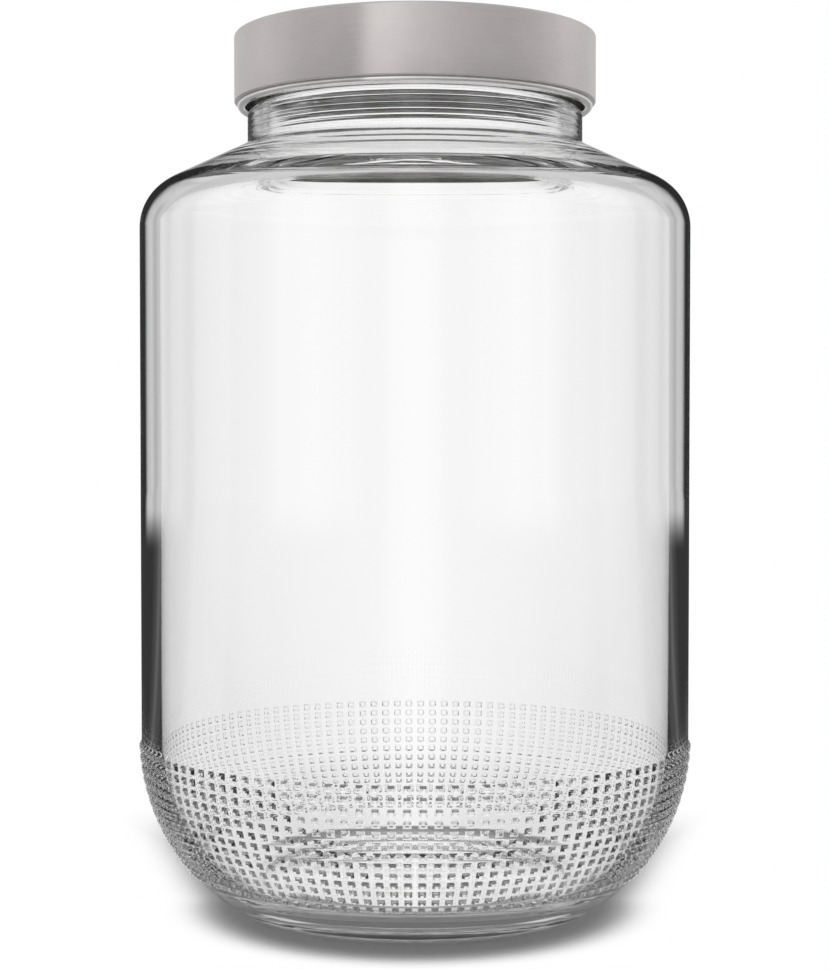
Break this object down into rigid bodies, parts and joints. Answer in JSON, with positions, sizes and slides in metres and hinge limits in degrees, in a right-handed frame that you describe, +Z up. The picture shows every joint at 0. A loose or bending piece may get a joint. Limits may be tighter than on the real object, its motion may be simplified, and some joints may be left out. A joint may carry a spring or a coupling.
{
  "type": "glass storage jar",
  "caption": "Wide-mouth clear glass storage jar, empty, with a closed brushed steel screw lid over a sealing ring, a round shoulder, a band of small studs on its heel and a narrow foot ring.",
  "frame": {"origin": "centre of the contact ring that the jar stands on", "axes": "+Z up along the jar's axis; the jar is round, so +X and +Y are any two level directions"},
  "size_m": [0.165, 0.165, 0.2613],
  "materials": {
    "clear_glass": "clear soda-lime glass, fire-polished",
    "brushed_steel": "satin, brushed round the skirt, curl polished",
    "sealing_compound": "soft matt off-white"
  },
  "bodies": {
    "root": {"jar": "clear_glass", "lid": "brushed_steel", "sealing_ring": "sealing_compound"}
  },
  "joints": []
}
